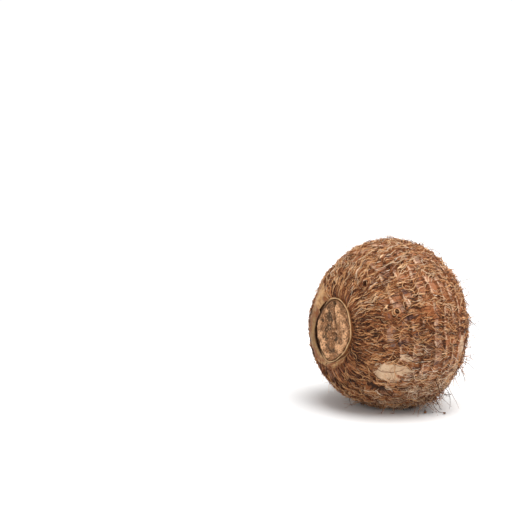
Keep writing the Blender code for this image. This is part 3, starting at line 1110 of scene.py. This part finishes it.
class TARO_OT_comb(bpy.types.Operator):
    """Adds the fibres that are combed towards the scar"""
    bl_idname = "taro.comb"
    bl_label = "Combed Fibres"

    def execute(self, context):
        coat, corm = settings("coat"), surface()
        rng = np.random.default_rng(301)
        near = fade(corm.degrees, 38.0, 52.0)
        crown = fade(spot(corm.theta, corm.phi, (29.0, 2.0), (7.0, 14.0)), 0.8, 1.1)
        density = near * np.clip(1.0 - corm.collar - corm.pit, 0.0, 1.0) * (1.0 - 0.85 * crown)
        theta, phi = scatter(rng, coat.comb_fibres, density, 26.0, 54.0)
        total, points = len(theta), 8
        share = shares(points)
        lift = rng.uniform(0.0, 0.75, (total, 1)) * MM * smooth(share, 0, 0.4) + 0.2 * MM * share
        centre, away, crossed = walk(
            theta, phi, heading=math.pi + rng.normal(0, 0.13, total), reach=rng.uniform(1.8, 5.5, total) * MM,
            points=points, lift=lift, bend=rng.normal(0, 0.05, total) / MM, wave=rng.uniform(0, 0.45, total),
            wave_length=rng.uniform(2.0, 5.0, total) * MM, phase=rng.uniform(0, 6, total),
        )
        kept = rng.uniform(0, 1, total) > 1.4 * crossed
        girth = rng.uniform(0.26, 0.62, (total, 1)) / 2 * MM * (1 - 0.75 * share ** 2)
        tone = rng.choice([0.00, 0.05, 0.12, 0.20, 0.32, 0.50, 0.66], total) + rng.normal(0, 0.04, total)
        swept("combed_fibres", centre[kept], girth[kept], 0.8 * girth[kept], tone[kept], away[kept])
        return {'FINISHED'}


class TARO_OT_crown(bpy.types.Operator):
    """Adds the rusty sheath that stands above the scar, split into streaks"""
    bl_idname = "taro.crown"
    bl_label = "Crown Sheath"

    def execute(self, context):
        rng = np.random.default_rng(351)
        degrees = np.concatenate([np.linspace(-44.0, 30.0, 64), np.linspace(150.0, 226.0, 52)])
        total, points = len(degrees), 8
        share = shares(points)
        phi = np.radians(degrees + rng.normal(0, 1.2, total))
        theta = np.radians(rng.uniform(24.6, 26.5, total) + np.where(degrees > 90.0, 2.6, 0.0))
        lift = rng.uniform(0.3, 0.9, (total, 1)) * MM + 0.25 * MM * share ** 3
        centre, away, _ = walk(
            theta, phi, heading=rng.normal(0, 0.12, total), reach=rng.uniform(3.2, 6.5, total) * MM,
            points=points, lift=lift, bend=rng.normal(0, 0.03, total) / MM,
        )
        width = rng.uniform(0.5, 1.2, (total, 1)) / 2 * MM * (1.0 - 0.75 * share ** 3)
        thickness = np.full((total, points), 0.09 * MM)
        tone = rng.choice([0.10, 0.18, 0.26, 0.32, 0.38, 0.46], total)
        swept("crown_sheath", centre, width, thickness, tone, away, corners=4)
        return {'FINISHED'}


class TARO_OT_shreds(bpy.types.Operator):
    """Adds the flat torn strips of old leaf sheath"""
    bl_idname = "taro.shreds"
    bl_label = "Sheath Shreds"

    def execute(self, context):
        coat, corm = settings("coat"), surface()
        rng = np.random.default_rng(401)
        theta, phi = scatter(rng, coat.shreds, (0.10 + 0.90 * corm.cover) * (1.0 - corm.collar), 30.0, 176.0)
        total, points = len(theta), 6
        share = shares(points)
        lift = rng.uniform(0.02, 0.35, (total, 1)) * MM + rng.uniform(0, 0.4, (total, 1)) * MM * share ** 2
        heading = math.pi + 0.7 * lie(theta, phi) + rng.normal(0, 0.22, total)
        centre, away, crossed = walk(
            theta, phi, heading=heading, reach=rng.uniform(2.0, 6.5, total) * MM, points=points, lift=lift,
            bend=rng.normal(0, 0.05, total) / MM, wave=rng.uniform(0, 0.25, total),
            wave_length=rng.uniform(3, 6, total) * MM, phase=rng.uniform(0, 6, total),
        )
        taper = 0.35 + 0.65 * np.sin(math.pi * (0.12 + 0.80 * share))
        width = rng.uniform(0.35, 1.3, (total, 1)) / 2 * MM * taper
        thickness = np.full((total, points), 0.05 * MM)
        tone = rng.choice([0.08, 0.16, 0.24, 0.32, 0.44, 0.60, 0.78], total) + rng.normal(0, 0.05, total)
        tilt = rng.normal(0, 0.35, total)[:, None, None]
        sideways = unit(np.cross(np.gradient(centre, axis=1), away))
        kept = rng.uniform(0, 1, total) > 1.3 * crossed
        tone = tone + local_tone(theta, phi)
        away = away + tilt * sideways
        swept("sheath_shreds", centre[kept], width[kept], thickness[kept], tone[kept], away[kept], corners=4)
        return {'FINISHED'}


class TARO_OT_flakes(bpy.types.Operator):
    """Adds the torn strips and cracks that each have their own place"""
    bl_idname = "taro.flakes"
    bl_label = "Sheath Flakes"

    def execute(self, context):
        theta, phi, heading, reach, width, tone, rise = np.array(FLAKES, float).T
        points = 9
        share = shares(points)
        lift = (0.35 + rise[:, None] * share ** 2) * MM
        centre, away, _ = walk(
            np.radians(theta), np.radians(phi), heading=np.radians(heading), reach=reach * MM, points=points,
            lift=lift, bend=0.06 / MM, wave=0.15, wave_length=4 * MM, phase=theta,
        )
        width = width[:, None] / 2 * MM * (0.25 + 0.75 * np.sin(math.pi * (0.1 + 0.8 * share)))
        swept("sheath_flakes", centre, width, np.full_like(width, 0.07 * MM), tone, away, corners=4)
        return {'FINISHED'}


class TARO_OT_eyes(bpy.types.Operator):
    """Adds the swirls of fibre round the dormant buds"""
    bl_idname = "taro.eyes"
    bl_label = "Eyes"

    def execute(self, context):
        corm = surface()
        rng = np.random.default_rng(701)
        each, points = 34, 10
        total = each * len(EYES)
        middle = np.repeat(np.array(EYES, float), each, axis=0)
        share = shares(points)
        start = rng.uniform(0.7, 2.7, (total, 1))
        radius = start * middle[:, 2:] * (1.0 + rng.uniform(-0.15, 0.25, (total, 1)) * share)
        turn = rng.uniform(0, 2 * math.pi, (total, 1)) + rng.uniform(1.0, 3.2, (total, 1)) * share
        theta = np.radians(middle[:, :1]) + radius * MM * np.cos(turn) / GIRTH
        phi = np.radians(middle[:, 1:2]) + radius * MM * np.sin(turn) / (GIRTH * np.sin(theta))
        lift = rng.uniform(0.1, 0.8, (total, 1)) * MM * np.sin(math.pi * (0.1 + 0.8 * share))
        girth = rng.uniform(0.22, 0.5, (total, 1)) / 2 * MM * (1.0 - 0.6 * share ** 2)
        tone = np.where(start[:, 0] < 1.4, 0.06, rng.choice([0.34, 0.56, 0.72, 0.84], total))
        away = corm.read(corm.normals, theta, phi)
        swept("eye_fibres", corm.points(theta, phi, lift), girth, 0.75 * girth, tone, away)
        return {'FINISHED'}


def grow(rng, start, ahead, reach, points, curl, droop):
    """Leads each hair through the air from its root, curling as it goes and drooping."""
    corm = surface()
    step = reach[:, None] / (points - 1)
    axis = rng.normal(0, 1, start.shape)
    places = [start]
    for _ in range(points - 1):
        axis = 0.8 * axis + rng.normal(0, 0.5, start.shape)
        ahead = ahead + curl[:, None] * step * np.cross(axis, ahead)
        ahead[:, 2:] -= droop * step
        ahead = unit(ahead)
        places.append(corm.clear(places[-1] + ahead * step))
    return np.stack(places, 1)


def hairs(name, rng, theta, phi, reach, points, girth, stand, curl, droop, tones):
    """A mesh of hairs that leave the skin. A high stand makes them start straight off it."""
    corm = surface()
    total = len(theta)
    normal = corm.read(corm.normals, theta, phi)
    start = corm.points(theta, phi, np.full(total, ROOT_LIFT))
    ahead = unit(normal * stand[:, None] + rng.normal(0, 1, (total, 3)))
    centre = grow(rng, start, ahead, reach, points, curl, droop)
    share = shares(points)
    thick = girth[:, None] / 2 * (1 - 0.65 * share)
    tone = rng.choice(tones, total) + rng.normal(0, 0.05, total)
    away = np.repeat(normal[:, None], points, axis=1)
    swept(name, centre, thick, thick, tone, away)


class TARO_OT_loose(bpy.types.Operator):
    """Adds the fine hairs that stand off the corm"""
    bl_idname = "taro.loose"
    bl_label = "Loose Hairs"

    def execute(self, context):
        coat, corm = settings("coat"), surface()
        rng = np.random.default_rng(501)
        place = round_axis(corm.theta, corm.phi)
        clumps = smooth(grain(place, 0.008, 61), -0.25, 0.35)
        behind = 0.35 + 0.65 * smooth(corm.degrees, 50.0, 90.0)
        theta, phi = scatter(rng, coat.loose_hairs, (0.15 + 0.85 * clumps) * behind, 40.0, 178.0)
        total = len(theta)
        hairs(
            "loose_hairs", rng, theta, phi, reach=rng.gamma(3.0, 1.3, total) * MM, points=12,
            girth=rng.uniform(0.14, 0.32, total) * MM, stand=rng.uniform(0.4, 1.6, total),
            curl=rng.uniform(90, 420, total), droop=70.0, tones=[0.16, 0.34, 0.48, 0.60, 0.76],
        )
        theta, phi = scatter(rng, coat.stray_hairs, behind, 60.0, 165.0)
        roots = np.radians(np.array(STRAYS, float)).T
        theta, phi = np.append(theta, roots[0]), np.append(phi, roots[1])
        total = len(theta)
        hairs(
            "stray_hairs", rng, theta, phi, reach=rng.uniform(6.0, 15.0, total) * MM, points=20,
            girth=rng.uniform(0.24, 0.42, total) * MM, stand=rng.uniform(0.5, 1.3, total),
            curl=rng.uniform(60, 300, total), droop=130.0, tones=[0.08, 0.20, 0.32, 0.46],
        )
        return {'FINISHED'}


class TARO_OT_tufts(bpy.types.Operator):
    """Adds the tangle by the floor and the smaller tufts elsewhere"""
    bl_idname = "taro.tufts"
    bl_label = "Tufts"

    def execute(self, context):
        coat = settings("coat")
        rng = np.random.default_rng(551)
        spots = np.array(TUFTS, float)
        which = rng.choice(len(spots), coat.tuft_fibres, p=spots[:, 3] / spots[:, 3].sum())
        total = len(which)
        theta = np.radians(spots[which, 0] + spots[which, 2] * rng.normal(0, 1, total))
        phi = np.radians(spots[which, 1] + spots[which, 2] * rng.normal(0, 1, total))
        hairs(
            "tufts", rng, theta, phi, reach=rng.gamma(4.0, 1.3, total) * MM, points=16,
            girth=rng.uniform(0.20, 0.50, total) * MM, stand=rng.uniform(0.6, 1.6, total),
            curl=rng.uniform(300, 900, total), droop=110.0, tones=[0.06, 0.16, 0.30, 0.48, 0.70],
        )
        return {'FINISHED'}


class TARO_OT_crumbs(bpy.types.Operator):
    """Adds the bits of bark that are caught in the fibres"""
    bl_idname = "taro.crumbs"
    bl_label = "Bark Crumbs"

    def execute(self, context):
        coat, corm = settings("coat"), surface()
        rng = np.random.default_rng(601)
        theta, phi = scatter(rng, coat.crumbs, np.clip(1.0 - corm.bare, 0.0, 1.0), 40.0, 170.0)
        caught = np.radians(np.repeat([tuft[:2] for tuft in TUFTS], [tuft[4] for tuft in TUFTS], axis=0)).T
        caught = caught + rng.normal(0, 0.035, caught.shape)
        theta, phi = np.append(theta, caught[0]), np.append(phi, caught[1])
        total = len(theta)
        places = corm.points(theta, phi, rng.uniform(0.3, 1.0, total) * MM)
        half = rng.gamma(4.0, 0.10, (total, 1)) * MM * rng.uniform(0.5, 1.3, (total, 3))
        from_tuft = np.arange(total) >= coat.crumbs
        fallen = from_tuft & (places[:, 2] < 12 * MM) & (rng.uniform(0, 1, total) < 0.7)
        places[fallen, :2] *= rng.uniform(0.92, 1.08, (fallen.sum(), 1))
        places[:, 2] = np.where(fallen, 0.0, np.maximum(places[:, 2], half[:, 2])) + 1.2 * half[:, 2]
        bpy.ops.mesh.primitive_ico_sphere_add(subdivisions=2, radius=1.0)
        piece = added("bark_crumbs")
        ball = vertices_of(piece)
        for index in range(total):
            crumb = piece
            if index:
                crumb = bpy.data.objects.new("crumb", piece.data.copy())
                context.scene.collection.objects.link(crumb)
                crumb.select_set(True)
            lumps = 1.0 + 0.4 * grain(ball, 0.8, 70 + index)
            move_vertices(crumb, places[index] + ball * lumps[:, None] * half[index])
        bpy.ops.object.join()
        finish(piece, crumb_material())
        return {'FINISHED'}


class TARO_OT_bud(bpy.types.Operator):
    """Adds the dried leaf bases that close over the bud"""
    bl_idname = "taro.bud"
    bl_label = "Bud Scales"

    def execute(self, context):
        coat, corm = settings("coat"), surface()
        rng = np.random.default_rng(651)
        total, points = coat.bud_scales, 9
        inner = np.linspace(0, 1, total)
        turn = np.arange(total) * math.radians(GOLDEN_TURN) + rng.normal(0, 0.12, total)
        theta = math.pi - np.arctan((7.6 - 5.6 * inner) * MM / (CORM_HIGH.x - MIDDLE.x))
        start = corm.points(theta, turn, np.full(total, ROOT_LIFT))
        out = np.stack([np.zeros(total), np.sin(turn), np.cos(turn)], -1)
        tip = np.array((CORM_HIGH.x, 0.0, AXIS_HEIGHT)) + out * ((2.9 - 2.5 * inner) * MM)[:, None]
        tip[:, 0] += (-1.2 + 2.6 * inner) * MM
        share = shares(points)
        outward = out + np.array((0.8, 0.0, 0.0))
        bulge = (0.9 - 0.4 * inner)[:, None] * MM * np.sin(math.pi * share)
        centre = start[:, None] * (1 - share[..., None]) + tip[:, None] * share[..., None]
        centre = centre + outward[:, None] * bulge[..., None]
        width = (2.2 - 1.3 * inner)[:, None] * MM * np.sin(math.pi * (0.22 + 0.76 * share))
        tone = 0.04 + 0.20 * inner + rng.normal(0, 0.07, total)
        away = np.repeat(outward[:, None], points, axis=1)
        swept("bud_scales", centre, width, np.full_like(width, 0.12 * MM), tone, away, corners=6)
        return {'FINISHED'}


class TARO_OT_stage(bpy.types.Operator):
    """Adds the pale floor, the broad overhead light, the white surround and the camera"""
    bl_idname = "taro.stage"
    bl_label = "Stage"

    def execute(self, context):
        stage = settings("stage")
        bpy.ops.mesh.primitive_plane_add(size=12.0)
        floor = added("floor")
        recipe = Recipe("floor_paint", 0.9)
        recipe.shader.inputs["Base Color"].default_value = (0.9, 0.9, 0.9, 1.0)
        recipe.shader.inputs["Specular IOR Level"].default_value = 0.0
        floor.data.materials.append(recipe.material)
        light = bpy.data.lights.new("overhead", 'SUN')
        light.energy = stage.key_strength
        light.angle = stage.key_spread
        overhead = bpy.data.objects.new("overhead", light)
        overhead.location = (0.10, -0.28, 1.0)
        overhead.rotation_euler = overhead.location.to_track_quat('Z', 'Y').to_euler()
        context.scene.collection.objects.link(overhead)
        world = bpy.data.worlds.new("white_surround")
        world.use_nodes = True
        context.scene.world = world
        tree = world.node_tree
        back = tree.nodes["Background"]
        kinds = ('ShaderNodeTexCoord', 'ShaderNodeSeparateXYZ', 'ShaderNodeValToRGB')
        place, split, ramp = map(tree.nodes.new, kinds)
        tree.links.new(place.outputs["Generated"], split.inputs[0])
        tree.links.new(split.outputs["Z"], ramp.inputs[0])
        tree.links.new(ramp.outputs[0], back.inputs["Color"])
        for element, (where, level) in zip(
            [ramp.color_ramp.elements[0], ramp.color_ramp.elements[1], ramp.color_ramp.elements.new(0.5)],
            ((0.10, 1.0), (0.30, 0.30), (0.80, 0.30)),
        ):
            element.position = where
            element.color = (level, level, level, 1.0)
        back.inputs["Strength"].default_value = stage.horizon
        lens = bpy.data.cameras.new("camera")
        lens.lens = stage.lens
        lens.clip_start = 0.01
        camera = bpy.data.objects.new("camera", lens)
        turn, level = stage.azimuth, math.cos(stage.elevation)
        back_off = Vector((math.sin(turn) * level, -math.cos(turn) * level, math.sin(stage.elevation)))
        camera.location = (CORM_LOW + CORM_HIGH) / 2 + back_off * stage.distance
        camera.rotation_euler = (math.pi / 2 - stage.tilt, 0.0, stage.heading)
        context.scene.collection.objects.link(camera)
        context.scene.camera = camera
        context.scene.view_settings.view_transform = 'Standard'
        return {'FINISHED'}


class TARO_PT_panel(bpy.types.Panel):
    """Lists the corm's pieces"""
    bl_label = "Taro Corm"
    bl_idname = "TARO_PT_panel"
    bl_space_type = 'VIEW_3D'
    bl_region_type = 'UI'
    bl_category = "Taro"

    def draw(self, context):
        for piece in PIECES:
            self.layout.operator(piece.bl_idname)


PIECES = (
    TARO_OT_stage, TARO_OT_skin, TARO_OT_scar_face, TARO_OT_scar_rim, TARO_OT_collar, TARO_OT_crumbs,
    TARO_OT_bud, TARO_OT_coat, TARO_OT_comb, TARO_OT_crown, TARO_OT_shreds, TARO_OT_flakes, TARO_OT_eyes,
    TARO_OT_loose, TARO_OT_tufts,
)
GROUPS = {"skin": TARO_PG_skin, "scar": TARO_PG_scar, "coat": TARO_PG_coat, "stage": TARO_PG_stage}


def register():
    for name, group in GROUPS.items():
        bpy.utils.register_class(group)
        setattr(bpy.types.Scene, "taro_" + name, PointerProperty(type=group))
    for kind in (*PIECES, TARO_PT_panel):
        bpy.utils.register_class(kind)


def unregister():
    for kind in (*PIECES, TARO_PT_panel):
        bpy.utils.unregister_class(kind)
    for name, group in GROUPS.items():
        delattr(bpy.types.Scene, "taro_" + name)
        bpy.utils.unregister_class(group)


def main():
    register()
    bpy.ops.object.select_all(action='DESELECT')
    for piece in PIECES:
        operator = getattr(bpy.ops.taro, piece.bl_idname.split(".")[1])
        if operator() != {'FINISHED'}:
            raise RuntimeError(piece.bl_label + " could not be made")
        bpy.ops.object.select_all(action='DESELECT')


if __name__ == "__main__":
    main()
